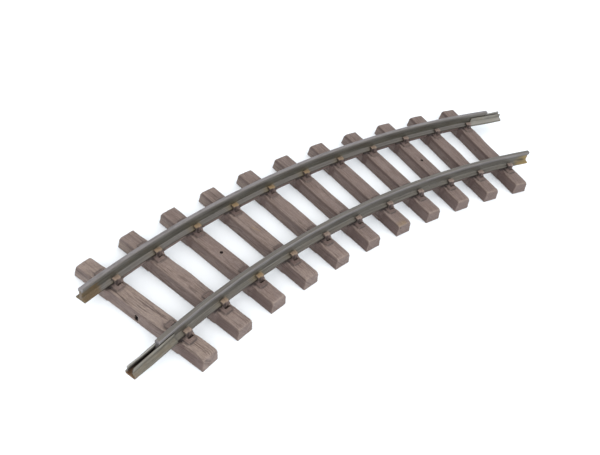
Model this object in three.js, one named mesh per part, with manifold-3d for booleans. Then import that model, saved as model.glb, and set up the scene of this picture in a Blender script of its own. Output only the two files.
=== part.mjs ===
// Curved model railway track section, 45 mm gauge: eleven moulded sleepers joined by webs under the rails, two
// drawn rails, two sheet-metal rail joiners and four rail screws. Millimetres, +Z up. The curve's centre lies towards -Y, X runs along the
// chord, and the origin is at the middle of the section's bounding box, on the surface that it stands on.

import * as THREE from 'three';
import { mergeVertices } from 'three/addons/utils/BufferGeometryUtils.js';
import Module from 'manifold-3d';

const wasm = await Module();
wasm.setup();

// ---------------------------------------------------------------- driving dimensions

const CURVE_RADIUS = 600;
const SECTION_ANGLE = THREE.MathUtils.degToRad(30);
const RAIL_SPACING = 47.7;
const FIT_GAP = 0.2;

const SLEEPER_COUNT = 11;
const SLEEPER_PITCH = THREE.MathUtils.degToRad(2.6468);
const SLEEPER_LENGTH = 88;
const SLEEPER_WIDTH = 11.4;
const SLEEPER_HEIGHT = 7.7;
const SIDE_DRAFT = 0.8;
const END_DRAFT = 0.55;
const TOP_BEVEL = 0.45;
const TOP_WALL = 1.8;
const SIDE_WALL = 1.7;
const END_WALL = 1.7;
const RIB_WIDTH = 4.6;

const PLATE_WIDTH = 5.6;
const PLATE_REACH = 8.2;
const PLATE_RISE = 0.6;
const SEAT_BLOCK_WIDTH = 12.2;
const SEAT_BLOCK_REACH = 4;
const SEAT_BLOCK_TOP = 7.4;
// The webs under the rails that join the sleepers, a little nearer to the middle of the track than the rails.
const WEB_WIDTH = 5.3;
const WEB_SHIFT = 0.33;
const WEB_BOTTOM = 6.5;

const CLIP_WIDTH = 4.2;
const CLIP_OFFSET = 1.65;
const CLIP_THICKNESS = 1.05;
const CLIP_TOP = 11.15;
const CLIP_TIP = 1.5;
const PIT_WIDTH = 3.8;
const PIT_LENGTH = 1.4;

const RAIL_HEIGHT = 8.4;
const RAIL_STEPS = 30;
const HEAD_WIDTH = 2.7;
const HEAD_DEPTH = 2.5;
const WEB_THICKNESS = 1.5;
const FOOT_WIDTH = 6.3;
const FOOT_EDGE = 0.8;
const FOOT_ROOT = 1.55;
// A rail stops this far short at the end that carries a joiner, which leaves an expansion gap.
const EXPANSION_GAP = 1.2;

const JOINER_LENGTH = 28;
const JOINER_REACH = { outer: 14, inner: 17.2 };
const JOINER_SHEET = 0.5;
const JOINER_LIP_TOP = 5.1;
const JOINER_RECESS_DEPTH = 0.55;
const JOINER_RECESS_START = 2.8;

const FIXING_HOLE_RADIUS = 0.9;
const FIXING_SLEEPERS = [3, 9];
const SIDE_SLOT_WIDTH = 2;
const SIDE_SLOT_OFFSET = 0.2;
const SIDE_SLOT_BOTTOM = 0.9;
const SIDE_SLOT_TOP = 4.4;

const SCREW_RADIUS = 0.65;
const SCREW_HEAD_RADIUS = 1.8;
const SCREW_HEAD_HEIGHT = 1.3;
const SCREW_SLOT_WIDTH = 0.5;
const SCREW_SLOT_DEPTH = 0.6;
const COUNTERBORE_RADIUS = 2.3;
const COUNTERBORE_DEPTH = 3.6;
const THREAD_DEPTH = 1.2;
const ROUND_SIDES = 16;

// ---------------------------------------------------------------- sizes that follow from them

const SEAT_Z = SLEEPER_HEIGHT + PLATE_RISE;
const RAIL_BASE_Z = SEAT_Z + FIT_GAP;
const HALF_SPACING = RAIL_SPACING / 2;
const HALF_ANGLE = SECTION_ANGLE / 2;
const FOOT_EDGE_GAP = FOOT_WIDTH / 2 + FIT_GAP;
const CLIP_FACE = FOOT_EDGE_GAP + CLIP_THICKNESS;
const RAIL_SIDES = { outer: 1, inner: -1 };

// ---------------------------------------------------------------- materials

const sleeperPlastic = () =>
  new THREE.MeshStandardMaterial({ color: 0x6f5f5b, roughness: 0.72, metalness: 0 });
const railMetal = () =>
  new THREE.MeshStandardMaterial({ color: 0x6d6a60, roughness: 0.5, metalness: 0.75 });
const joinerMetal = () =>
  new THREE.MeshStandardMaterial({ color: 0x7a7264, roughness: 0.48, metalness: 0.8 });
const screwMetal = () =>
  new THREE.MeshStandardMaterial({ color: 0x9a9a9c, roughness: 0.35, metalness: 1 });

// ---------------------------------------------------------------- solid helpers

function toSolid(geometry) {
  const bare = geometry.clone();
  bare.deleteAttribute('normal');
  bare.deleteAttribute('uv');
  const merged = mergeVertices(bare, 1e-4);
  return new wasm.Manifold(new wasm.Mesh({
    numProp: 3,
    vertProperties: new Float32Array(merged.attributes.position.array),
    triVerts: new Uint32Array(merged.index.array),
  }));
}

function toGeometry(solid) {
  const mesh = solid.getMesh();
  const geometry = new THREE.BufferGeometry();
  geometry.setAttribute('position', new THREE.BufferAttribute(new Float32Array(mesh.vertProperties), 3));
  geometry.setIndex(new THREE.BufferAttribute(new Uint32Array(mesh.triVerts), 1));
  geometry.computeVertexNormals();
  return geometry;
}

const shapeOf = (points) => new THREE.Shape(points.map(([x, y]) => new THREE.Vector2(x, y)));

// An outline given as (y, z) points, as thick as the stretch of X from one end to the other.
function extrudeAlongX(points, fromX, toX) {
  const geometry = new THREE.ExtrudeGeometry(shapeOf(points), { depth: toX - fromX, bevelEnabled: false });
  const axes = new THREE.Matrix4().makeBasis(
    new THREE.Vector3(0, 1, 0), new THREE.Vector3(0, 0, 1), new THREE.Vector3(1, 0, 0));
  return geometry.applyMatrix4(axes).translate(fromX, 0, 0);
}

// An outline given as (x, z) points, centred on the origin along Y.
function extrudeAlongY(points, length) {
  const geometry = new THREE.ExtrudeGeometry(shapeOf(points), { depth: length, bevelEnabled: false });
  return geometry.rotateX(Math.PI / 2).translate(0, length / 2, 0);
}

// A box given by its middle in X and Y, its size in X and Y, and its lowest and highest Z.
function block(x, y, sizeX, sizeY, bottom, top) {
  return new THREE.BoxGeometry(sizeX, sizeY, top - bottom).translate(x, y, (bottom + top) / 2);
}

function post(x, y, radius, bottom, top) {
  return new THREE.CylinderGeometry(radius, radius, top - bottom, ROUND_SIDES)
    .rotateX(Math.PI / 2)
    .translate(x, y, (bottom + top) / 2);
}

function polar(radius, angle) {
  return [radius * Math.sin(angle), radius * Math.cos(angle)];
}

const union = (geometries) => geometries.map(toSolid).reduce((sum, solid) => sum.add(solid));

// Half an outline on the +Y side, from the bottom up, closed by its mirror image.
const mirrored = (half) => [...half, ...half.map(([y, z]) => [-y, z]).reverse()];

// ---------------------------------------------------------------- sleepers

// A block drafted on all four sides, with a bevel round its top.
function sleeperBody() {
  const outline = (bottomHalf, draft) => mirrored([
    [bottomHalf, 0],
    [bottomHalf - draft + draft * TOP_BEVEL / SLEEPER_HEIGHT, SLEEPER_HEIGHT - TOP_BEVEL],
    [bottomHalf - draft - TOP_BEVEL, SLEEPER_HEIGHT],
  ]);
  const across = extrudeAlongY(outline(SLEEPER_WIDTH / 2, SIDE_DRAFT), SLEEPER_LENGTH + 2);
  const along = extrudeAlongX(outline(SLEEPER_LENGTH / 2, END_DRAFT), -SLEEPER_WIDTH, SLEEPER_WIDTH);
  return toSolid(across).intersect(toSolid(along));
}

const webMiddle = (railY) => railY - Math.sign(railY) * WEB_SHIFT;

// The raised tie plate and the wider block below it that carry one rail, with the web's stretch over the block.
function railSeat(railY) {
  return [
    block(0, railY, PLATE_WIDTH, 2 * PLATE_REACH, SLEEPER_HEIGHT - TOP_BEVEL, SEAT_Z),
    block(0, railY, SEAT_BLOCK_WIDTH, 2 * SEAT_BLOCK_REACH, 0, SEAT_BLOCK_TOP),
    block(0, webMiddle(railY), SEAT_BLOCK_WIDTH, WEB_WIDTH, WEB_BOTTOM, SEAT_Z),
  ];
}

// The web from a sleeper's block to the next block on its right, which it stops a running gap short of.
function railWeb(railY) {
  const radius = CURVE_RADIUS + webMiddle(railY);
  const halfBlock = SEAT_BLOCK_WIDTH / 2;
  const from = (halfBlock - 1) / radius;
  const to = SLEEPER_PITCH - (halfBlock + FIT_GAP) / radius;
  const middle = (from + to) / 2;
  const [x, y] = polar(radius, middle);
  return block(0, 0, (to - from) * radius, WEB_WIDTH, WEB_BOTTOM, SEAT_Z)
    .rotateZ(-middle)
    .translate(x, y - CURVE_RADIUS, 0);
}

// One clip: a post beside the rail's foot with a nose that hooks over the foot towards the web.
function railClip(railY, side) {
  const footTop = (y) => {
    const share = (FOOT_WIDTH / 2 - y) / (FOOT_WIDTH / 2 - WEB_THICKNESS / 2);
    return RAIL_BASE_Z + FOOT_EDGE + share * (FOOT_ROOT - FOOT_EDGE);
  };
  const profile = [
    [FOOT_EDGE_GAP, SLEEPER_HEIGHT - 1],
    [CLIP_FACE, SLEEPER_HEIGHT - 1],
    [CLIP_FACE - 0.15, CLIP_TOP - 0.8],
    [CLIP_FACE - 0.7, CLIP_TOP - 0.2],
    [CLIP_TIP + 0.3, CLIP_TOP],
    [CLIP_TIP, CLIP_TOP - 0.2],
    [CLIP_TIP, footTop(CLIP_TIP) + FIT_GAP],
    [FOOT_EDGE_GAP, footTop(FOOT_EDGE_GAP) + FIT_GAP],
  ];
  const placed = profile.map(([y, z]) => [railY + side * y, z]);
  const from = CLIP_OFFSET - CLIP_WIDTH / 2;
  return extrudeAlongX(side > 0 ? placed : placed.reverse(), from, from + CLIP_WIDTH);
}

// The moulding pit just outside a clip, which opens into the hollow below.
function clipPit(railY, side) {
  const y = railY + side * (CLIP_FACE + PIT_LENGTH / 2);
  return block(CLIP_OFFSET, y, PIT_WIDTH, PIT_LENGTH, SLEEPER_HEIGHT - TOP_WALL - 1, SEAT_Z + 1);
}

function undersideHollows(hasRib) {
  const width = SLEEPER_WIDTH - 2 * SIDE_WALL - SIDE_DRAFT;
  const roof = SLEEPER_HEIGHT - TOP_WALL;
  const innerEdge = HALF_SPACING - SEAT_BLOCK_REACH;
  const outerEdge = HALF_SPACING + SEAT_BLOCK_REACH;
  const endEdge = SLEEPER_LENGTH / 2 - END_WALL - END_DRAFT;
  const stretches = [[outerEdge, endEdge], [-endEdge, -outerEdge]];
  if (hasRib) stretches.push([RIB_WIDTH / 2, innerEdge], [-innerEdge, -RIB_WIDTH / 2]);
  else stretches.push([-innerEdge, innerEdge]);
  return stretches.map(([from, to]) => block(0, (from + to) / 2, width, to - from, -1, roof));
}

// The end sleepers make room for a joiner beside their clips, hold the rail screws, and have a small upright
// slot into the hollow at the middle of their outward side. outward is -1 on the first sleeper, 1 on the last.
function endSleeperCuts(outward) {
  const cuts = [];
  const recessTo = SEAT_BLOCK_WIDTH / 2 + 1;
  const recessMiddle = outward * (JOINER_RECESS_START + recessTo) / 2;
  const recessWidth = 2 * (FOOT_EDGE_GAP + JOINER_SHEET + 2 * FIT_GAP);
  for (const railY of [-HALF_SPACING, HALF_SPACING]) {
    cuts.push(block(recessMiddle, railY, recessTo - JOINER_RECESS_START, recessWidth,
      SLEEPER_HEIGHT - JOINER_RECESS_DEPTH, SEAT_Z));
    cuts.push(post(0, railY, COUNTERBORE_RADIUS, -1, COUNTERBORE_DEPTH));
    cuts.push(post(0, railY, SCREW_RADIUS + FIT_GAP, -1, SEAT_Z + 1));
  }
  cuts.push(block(outward * SLEEPER_WIDTH / 2, SIDE_SLOT_OFFSET, SLEEPER_WIDTH / 2, SIDE_SLOT_WIDTH,
    SIDE_SLOT_BOTTOM, SIDE_SLOT_TOP));
  return cuts;
}

function sleeperGeometry(number) {
  const outward = number === 1 ? -1 : number === SLEEPER_COUNT ? 1 : 0;
  const additions = [];
  const cuts = undersideHollows(outward === 0);
  for (const railY of [-HALF_SPACING, HALF_SPACING]) {
    additions.push(...railSeat(railY));
    if (number < SLEEPER_COUNT) additions.push(railWeb(railY));
    for (const side of [-1, 1]) {
      additions.push(railClip(railY, side));
      cuts.push(clipPit(railY, side));
    }
  }
  if (outward !== 0) cuts.push(...endSleeperCuts(outward));
  if (FIXING_SLEEPERS.includes(number)) {
    cuts.push(post(0, 0, FIXING_HOLE_RADIUS, -1, SLEEPER_HEIGHT + 1));
  }
  return toGeometry(sleeperBody().add(union(additions)).subtract(union(cuts)));
}

// ---------------------------------------------------------------- rails

const RAIL_HALF_PROFILE = [
  [FOOT_WIDTH / 2, 0],
  [FOOT_WIDTH / 2, FOOT_EDGE],
  [WEB_THICKNESS / 2 + 0.35, FOOT_ROOT],
  [WEB_THICKNESS / 2, FOOT_ROOT + 0.6],
  [WEB_THICKNESS / 2, RAIL_HEIGHT - HEAD_DEPTH],
  [HEAD_WIDTH / 2, RAIL_HEIGHT - HEAD_DEPTH + 0.6],
  [HEAD_WIDTH / 2, RAIL_HEIGHT - 0.7],
  [HEAD_WIDTH / 2 - 0.25, RAIL_HEIGHT - 0.2],
  [HEAD_WIDTH / 2 - 0.75, RAIL_HEIGHT],
];

// The angle at which a rail ends. end is -1 at the left end of the section and 1 at the right, and side says
// which rail it is: the outer rail carries its joiner on the right, the inner rail on the left.
const railEndAngle = (side, radius, end) => end * (HALF_ANGLE - (end === side ? EXPANSION_GAP / radius : 0));

// A level arc about the curve's centre, from the left end of a rail to its right end.
class RailArc extends THREE.Curve {
  constructor(side, radius) {
    super();
    this.radius = radius;
    this.from = railEndAngle(side, radius, -1);
    this.to = railEndAngle(side, radius, 1);
  }

  angleAt(t) {
    return this.from + t * (this.to - this.from);
  }

  getPoint(t, target = new THREE.Vector3()) {
    const angle = this.angleAt(t);
    return target.set(this.radius * Math.sin(angle), this.radius * Math.cos(angle), RAIL_BASE_Z);
  }

  getTangent(t, target = new THREE.Vector3()) {
    const angle = this.angleAt(t);
    return target.set(Math.cos(angle), -Math.sin(angle), 0);
  }
}

const endSleeperAngle = (SLEEPER_COUNT - 1) / 2 * SLEEPER_PITCH;

function railGeometry(side, radius) {
  // The sweep lays the shape's first axis downwards and its second across the track.
  const shape = shapeOf(mirrored(RAIL_HALF_PROFILE).map(([y, z]) => [-z, y]));
  const sweep = new THREE.ExtrudeGeometry(shape, { steps: RAIL_STEPS, extrudePath: new RailArc(side, radius) });
  const pilots = [-endSleeperAngle, endSleeperAngle].map((angle) => {
    const [x, y] = polar(radius, angle);
    return post(x, y, SCREW_RADIUS + FIT_GAP, RAIL_BASE_Z - 1, RAIL_BASE_Z + THREAD_DEPTH);
  });
  return toGeometry(toSolid(sweep).subtract(union(pilots)));
}

// ---------------------------------------------------------------- joiners

// The folded sheet: a floor under the rail's foot, walls round its edges, and two lips that stand beside the web.
function joinerProfile() {
  const inside = [
    [FOOT_EDGE_GAP, -FIT_GAP],
    [FOOT_EDGE_GAP, FOOT_EDGE + FIT_GAP],
    [WEB_THICKNESS / 2 + 0.35 + FIT_GAP, FOOT_ROOT + FIT_GAP + 0.15],
    [WEB_THICKNESS / 2 + FIT_GAP, FOOT_ROOT + 0.75],
    [WEB_THICKNESS / 2 + FIT_GAP, JOINER_LIP_TOP],
  ];
  const outside = [
    [WEB_THICKNESS / 2 + FIT_GAP + JOINER_SHEET, JOINER_LIP_TOP],
    [WEB_THICKNESS / 2 + FIT_GAP + JOINER_SHEET, FOOT_ROOT + 0.95],
    [FOOT_EDGE_GAP + JOINER_SHEET * 0.3, FOOT_EDGE + FIT_GAP + JOINER_SHEET],
    [FOOT_EDGE_GAP + JOINER_SHEET, FOOT_EDGE + FIT_GAP],
    [FOOT_EDGE_GAP + JOINER_SHEET, -FIT_GAP],
    [FOOT_EDGE_GAP + JOINER_SHEET * 0.5, -FIT_GAP - JOINER_SHEET],
  ];
  const half = [...inside, ...outside];
  const mirror = half.map(([y, z]) => [-y, z]).reverse();
  return [...half, ...mirror];
}

// A joiner is straight, and tangent to its rail at the middle of the stretch where the two overlap. end is 1
// at the right end of the section and -1 at the left.
function joinerMesh(sideName, radius, end) {
  const overlap = JOINER_LENGTH - JOINER_REACH[sideName];
  const angle = railEndAngle(end, radius, end) - end * overlap / 2 / radius;
  const from = end > 0 ? -overlap / 2 : overlap / 2 - JOINER_LENGTH;
  const geometry = extrudeAlongX(joinerProfile(), from, from + JOINER_LENGTH);
  const mesh = new THREE.Mesh(geometry, joinerMetal());
  mesh.name = `${sideName}_joiner`;
  mesh.position.set(...polar(radius, angle), RAIL_BASE_Z);
  mesh.rotation.z = -angle;
  return mesh;
}

// ---------------------------------------------------------------- screws

// A pan-head screw that stands head down, with its slot across the head.
function screwGeometry() {
  const headBottom = COUNTERBORE_DEPTH - SCREW_HEAD_HEIGHT - FIT_GAP;
  const headTop = COUNTERBORE_DEPTH - FIT_GAP;
  const tip = RAIL_BASE_Z + THREAD_DEPTH - FIT_GAP;
  const profile = [
    [0, headBottom],
    [SCREW_HEAD_RADIUS * 0.7, headBottom],
    [SCREW_HEAD_RADIUS, headBottom + SCREW_HEAD_HEIGHT * 0.45],
    [SCREW_HEAD_RADIUS, headTop],
    [SCREW_RADIUS, headTop],
    [SCREW_RADIUS, tip - SCREW_RADIUS],
    [SCREW_RADIUS * 0.3, tip],
    [0, tip],
  ].map(([r, z]) => new THREE.Vector2(r, z));
  const turned = new THREE.LatheGeometry(profile, ROUND_SIDES).rotateX(Math.PI / 2);
  const slot = block(0, 0, 2 * SCREW_HEAD_RADIUS + 1, SCREW_SLOT_WIDTH, headBottom - 1,
    headBottom + SCREW_SLOT_DEPTH);
  return toGeometry(toSolid(turned).subtract(toSolid(slot)));
}

// ---------------------------------------------------------------- assembly

const track = new THREE.Group();

for (let number = 1; number <= SLEEPER_COUNT; number += 1) {
  const angle = (number - (SLEEPER_COUNT + 1) / 2) * SLEEPER_PITCH;
  const sleeper = new THREE.Mesh(sleeperGeometry(number), sleeperPlastic());
  sleeper.name = `sleeper_${String(number).padStart(2, '0')}`;
  sleeper.position.set(...polar(CURVE_RADIUS, angle), 0);
  sleeper.rotation.z = -angle;
  track.add(sleeper);
}

for (const [sideName, side] of Object.entries(RAIL_SIDES)) {
  const radius = CURVE_RADIUS + side * HALF_SPACING;
  const rail = new THREE.Mesh(railGeometry(side, radius), railMetal());
  rail.name = `${sideName}_rail`;
  track.add(rail);

  // Each rail carries its own joiner at one end only: the outer rail on the right, the inner on the left.
  track.add(joinerMesh(sideName, radius, side));

  for (const [endName, end] of [['left', -1], ['right', 1]]) {
    const [x, y] = polar(radius, end * endSleeperAngle);
    const screw = new THREE.Mesh(screwGeometry(), screwMetal());
    screw.name = `${sideName}_rail_screw_${endName}`;
    screw.position.set(x, y, 0);
    track.add(screw);
  }
}

const bounds = new THREE.Box3().setFromObject(track, true);
const middle = bounds.getCenter(new THREE.Vector3());
track.position.set(-middle.x, -middle.y, 0);

export default track;
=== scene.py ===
import math
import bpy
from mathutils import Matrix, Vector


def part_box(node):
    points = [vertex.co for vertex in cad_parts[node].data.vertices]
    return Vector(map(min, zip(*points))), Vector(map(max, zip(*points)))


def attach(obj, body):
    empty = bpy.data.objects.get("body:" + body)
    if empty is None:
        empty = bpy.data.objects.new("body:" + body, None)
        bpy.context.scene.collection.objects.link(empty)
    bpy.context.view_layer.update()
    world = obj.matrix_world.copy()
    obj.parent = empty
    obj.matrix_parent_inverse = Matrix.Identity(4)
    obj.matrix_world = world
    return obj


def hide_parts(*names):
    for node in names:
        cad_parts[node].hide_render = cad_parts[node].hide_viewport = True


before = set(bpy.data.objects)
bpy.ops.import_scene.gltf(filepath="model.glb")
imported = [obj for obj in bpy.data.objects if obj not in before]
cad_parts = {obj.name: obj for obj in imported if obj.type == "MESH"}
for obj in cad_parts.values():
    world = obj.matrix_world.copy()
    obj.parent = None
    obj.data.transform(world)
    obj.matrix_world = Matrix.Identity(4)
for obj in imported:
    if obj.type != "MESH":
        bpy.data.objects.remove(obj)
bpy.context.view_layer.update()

from types import SimpleNamespace

import bmesh
import bpy
import numpy as np
from mathutils import Matrix, Vector

# Looks of a curved model railway track section. Lengths in this script are millimetres until a mesh is
# placed, and MM turns them into Blender's metres. X runs along the chord and the curve's centre is at -Y.
MM = 0.001

# ---------------- dimensions, as in the CAD source

CURVE_RADIUS = 600.0
HALF_ANGLE = math.radians(15)
HALF_SPACING = 23.85
SLEEPER_COUNT = 11
SLEEPER_PITCH = math.radians(2.6468)
SLEEPER_HALF_LENGTH = 44.0
SLEEPER_HALF_WIDTH = 5.7
SLEEPER_HEIGHT = 7.7
PLATE_TOP = 8.3
PLATE_HALF_WIDTH = 2.8
PLATE_REACH = 8.2
CLIP_MIDDLE = 1.65
CLIP_HALF_WIDTH = 2.1
CLIP_FACE = 4.4
CLIP_TOP = 11.15
RAIL_BASE = 8.5
RAIL_HEIGHT = 8.4
FOOT_HALF_WIDTH = 3.15
HEAD_HALF_WIDTH = 1.35
EXPANSION_GAP = 1.2
JOINER_LENGTH = 28.0
JOINER_REACH = {"outer": 14.0, "inner": 17.2}
JOINER_SHEET = 0.5
SIDES = {"outer": 1, "inner": -1}

# The curve's centre, from the outer edge of the outer rail's foot: its left end and the top of its arc.
rail_low, rail_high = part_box("outer_rail")
OUTER_EDGE = CURVE_RADIUS + HALF_SPACING + FOOT_HALF_WIDTH
CENTRE_X = rail_low.x / MM + OUTER_EDGE * math.sin(HALF_ANGLE)
CENTRE_Y = rail_high.y / MM - OUTER_EDGE


def placed(radius, angle, height=0.0):
    """The matrix in metres that puts a part at a point of the curve, with X along the track and Y away from
    the curve's centre."""
    x = CENTRE_X + radius * math.sin(angle)
    y = CENTRE_Y + radius * math.cos(angle)
    return Matrix.Translation(Vector((x, y, height)) * MM) @ Matrix.Rotation(-angle, 4, "Z")


# ---------------- numbers

def ramp(value, low, high):
    """0 below low, 1 above high, and a smooth step between them. low may be above high. Where a piece is
    painted or carved, they are millimetres in its own frame, or parts of a unit normal."""
    t = np.clip((value - low) / (high - low), 0, 1)
    return t * t * (3 - 2 * t)


class Noise:
    """Smooth seeded noise on a repeating lattice, from -1 to 1."""
    SIZE = 48

    def __init__(self, seed):
        self.table = np.random.default_rng(seed).uniform(-1, 1, (self.SIZE,) * 3)

    def __call__(self, x, y, z=0.0):
        p = np.stack(np.broadcast_arrays(x, y, z), -1).astype(float)
        cell = np.floor(p)
        f = p - cell
        f = f * f * (3 - 2 * f)
        i = cell.astype(int) % self.SIZE
        j = (i + 1) % self.SIZE
        total = 0.0
        for corner in range(8):
            pick = [(corner >> k) & 1 for k in range(3)]
            index = [(j if pick[k] else i)[..., k] for k in range(3)]
            share = [f[..., k] if pick[k] else 1 - f[..., k] for k in range(3)]
            total = total + self.table[tuple(index)] * share[0] * share[1] * share[2]
        return total


# ---------------- mesh helpers

ROUNDING_STEPS = 5


def mesh_arrays(mesh):
    co = np.zeros(len(mesh.vertices) * 3)
    mesh.vertices.foreach_get("co", co)
    edges = np.zeros(len(mesh.edges) * 2, int)
    mesh.edges.foreach_get("vertices", edges)
    normals = np.zeros(len(mesh.vertices) * 3, np.float32)
    mesh.vertex_normals.foreach_get("vector", normals)
    return co.reshape(-1, 3), edges.reshape(-1, 2), normals.reshape(-1, 3).astype(float)


def neighbour_mean(values, edges):
    total = np.zeros_like(values)
    count = np.zeros(len(values))
    for a, b in ((0, 1), (1, 0)):
        np.add.at(total, edges[:, a], values[edges[:, b]])
        np.add.at(count, edges[:, a], 1)
    return total / np.maximum(count, 1).reshape((-1,) + (1,) * (values.ndim - 1))


def relax(values, edges, steps, strength=1.0):
    """Evens out neighbouring vertices' values, in place."""
    for _ in range(steps):
        values += 0.5 * strength * (neighbour_mean(values, edges) - values)


def set_positions(mesh, co):
    mesh.vertices.foreach_set("co", co.astype(np.float32).ravel())
    mesh.update()


def store(mesh, name, values):
    """Keeps one number or one vector per vertex for the materials."""
    values = np.asarray(values, np.float32)
    kind, key = ("FLOAT", "value") if values.ndim == 1 else ("FLOAT_VECTOR", "vector")
    mesh.attributes.new(name, kind, "POINT").data.foreach_set(key, values.ravel())


def new_mesh(name, vertices, faces):
    mesh = bpy.data.meshes.new(name)
    mesh.from_pydata([tuple(v) for v in vertices], [], [tuple(int(i) for i in f) for f in faces])
    mesh.polygons.foreach_set("use_smooth", [True] * len(mesh.polygons))
    mesh.update()
    return mesh


def mesh_from(work, name):
    """Turns a bmesh into a mesh and frees it."""
    mesh = bpy.data.meshes.new(name)
    work.to_mesh(mesh)
    work.free()
    return mesh


def add_object(name, data):
    obj = bpy.data.objects.new(name, data)
    bpy.context.scene.collection.objects.link(obj)
    return obj


def show(name, mesh, material, body, nodes):
    """Shows a finished mesh, in metres, in place of its CAD nodes."""
    obj = add_object(name, mesh)
    mesh.materials.clear()
    mesh.materials.append(material)
    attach(obj, body)
    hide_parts(*nodes)
    return obj


def rounded(points, radii):
    """A closed outline with each corner rounded to its own radius."""
    out = []
    count = len(points)
    for k in range(count):
        corner, before, after = (np.array(points[i % count], float) for i in (k, k - 1, k + 1))
        a, b = before - corner, after - corner
        length_a, length_b = np.linalg.norm(a), np.linalg.norm(b)
        a, b = a / length_a, b / length_b
        angle = math.acos(float(np.clip(a @ b, -1, 1)))
        if radii[k] <= 0 or angle > math.radians(176):
            out.append(corner)
            continue
        reach = min(radii[k] / math.tan(angle / 2), 0.48 * length_a, 0.48 * length_b)
        radius = reach * math.tan(angle / 2)
        middle = corner + (a + b) / np.linalg.norm(a + b) * radius / math.sin(angle / 2)
        first, last = corner + a * reach - middle, corner + b * reach - middle
        sweep = math.pi - angle
        for step in range(ROUNDING_STEPS + 1):
            t = step / ROUNDING_STEPS
            weight_first = math.sin((1 - t) * sweep) / math.sin(sweep)
            weight_last = math.sin(t * sweep) / math.sin(sweep)
            out.append(middle + first * weight_first + last * weight_last)
    return np.array(out)


def densified(outline, longest):
    """The same closed outline with no stretch longer than that."""
    out = []
    for k, start in enumerate(outline):
        end = outline[(k + 1) % len(outline)]
        parts = max(1, math.ceil(np.linalg.norm(end - start) / longest))
        out.extend(start + (end - start) * i / parts for i in range(parts))
    return np.array(out)


def lofted(sections):
    """Vertices and faces through equal closed sections, with flat ends."""
    rings, points = len(sections), len(sections[0])
    vertices = np.concatenate(sections)
    faces = []
    for r in range(rings - 1):
        for p in range(points):
            q = (p + 1) % points
            faces.append((r * points + p, r * points + q, (r + 1) * points + q, (r + 1) * points + p))
    faces.append(tuple(range(points))[::-1])
    faces.append(tuple((rings - 1) * points + p for p in range(points)))
    return vertices, faces


def cleaned(mesh):
    """Closes the end faces as triangles and turns every face outwards."""
    work = bmesh.new()
    work.from_mesh(mesh)
    big = [f for f in work.faces if len(f.verts) > 4]
    for face in big:
        face.smooth = False
    bmesh.ops.triangulate(work, faces=big)
    bmesh.ops.recalc_face_normals(work, faces=work.faces)
    work.to_mesh(mesh)
    work.free()
    return mesh


# ---------------- material helpers

def colour_sockets(node):
    """A Mix node's two colour inputs and its colour output."""
    first, second = (s for s in node.inputs if s.type == "RGBA")
    return first, second, next(s for s in node.outputs if s.type == "RGBA")


class Tree:
    """A material's node tree, written as calls that return sockets."""

    def __init__(self, name):
        self.material = bpy.data.materials.new(name)
        self.material.use_nodes = True
        self.nodes = self.material.node_tree.nodes
        self.links = self.material.node_tree.links
        self.shader = self.nodes["Principled BSDF"]

    def put(self, socket, value):
        if isinstance(value, bpy.types.NodeSocket):
            self.links.new(value, socket)
        elif value is not None:
            socket.default_value = value

    def attribute(self, name, output="Fac"):
        node = self.nodes.new("ShaderNodeAttribute")
        node.attribute_name = name
        return node.outputs[output]

    def math(self, operation, a, b=None, clamp=False):
        node = self.nodes.new("ShaderNodeMath")
        node.operation = operation
        node.use_clamp = clamp
        self.put(node.inputs[0], a)
        self.put(node.inputs[1], b)
        return node.outputs[0]

    def faded(self, attribute, share):
        """A vertex attribute, faded by a number or by a noise."""
        return self.math("MULTIPLY", self.attribute(attribute), share)

    def scaled(self, vector, scale, offset=(0, 0, 0)):
        node = self.nodes.new("ShaderNodeMapping")
        self.put(node.inputs["Vector"], vector)
        node.inputs["Scale"].default_value = scale
        node.inputs["Location"].default_value = offset
        return node.outputs[0]

    def noise(self, vector, scale=1.0, detail=3.0, roughness=0.55):
        node = self.nodes.new("ShaderNodeTexNoise")
        self.put(node.inputs["Vector"], vector)
        for key, value in (("Scale", scale), ("Detail", detail), ("Roughness", roughness)):
            node.inputs[key].default_value = value
        return node.outputs["Fac"]

    def speckle(self, vector, scale):
        node = self.nodes.new("ShaderNodeTexVoronoi")
        self.put(node.inputs["Vector"], vector)
        node.inputs["Scale"].default_value = scale
        return node.outputs["Distance"]

    def between(self, value, low, high, to_low=0.0, to_high=1.0):
        """A smooth step from to_low, where the value is low, to to_high."""
        node = self.nodes.new("ShaderNodeMapRange")
        node.interpolation_type = "SMOOTHSTEP"
        self.put(node.inputs["Value"], value)
        for key, number in (("From Min", low), ("From Max", high), ("To Min", to_low), ("To Max", to_high)):
            node.inputs[key].default_value = number
        return node.outputs["Result"]

    def mix(self, share, a, b):
        node = self.nodes.new("ShaderNodeMix")
        node.data_type = "RGBA"
        node.clamp_factor = True
        first, second, result = colour_sockets(node)
        self.put(node.inputs["Factor"], share)
        self.put(first, a)
        self.put(second, b)
        return result

    def bump(self, heights):
        """Bump from (height, strength, distance in mm) triples, one over another."""
        normal = None
        for height, strength, distance in heights:
            node = self.nodes.new("ShaderNodeBump")
            node.inputs["Strength"].default_value = strength
            node.inputs["Distance"].default_value = distance * MM
            self.put(node.inputs["Height"], height)
            self.put(node.inputs["Normal"], normal)
            normal = node.outputs["Normal"]
        return normal

    def finish(self, colour, roughness, normal, **fixed):
        self.put(self.shader.inputs["Base Color"], colour)
        self.put(self.shader.inputs["Roughness"], roughness)
        self.put(self.shader.inputs["Normal"], normal)
        for key, value in fixed.items():
            self.shader.inputs[key.replace("_", " ")].default_value = value
        return self.material


def srgb(red, green, blue):
    """A colour given on the 0 to 255 scale of a picture, as the linear colour that a shader takes."""
    linear = [((c / 255 + 0.055) / 1.055) ** 2.4 if c > 10 else c / 255 / 12.92 for c in (red, green, blue)]
    return (*linear, 1.0)


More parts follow.
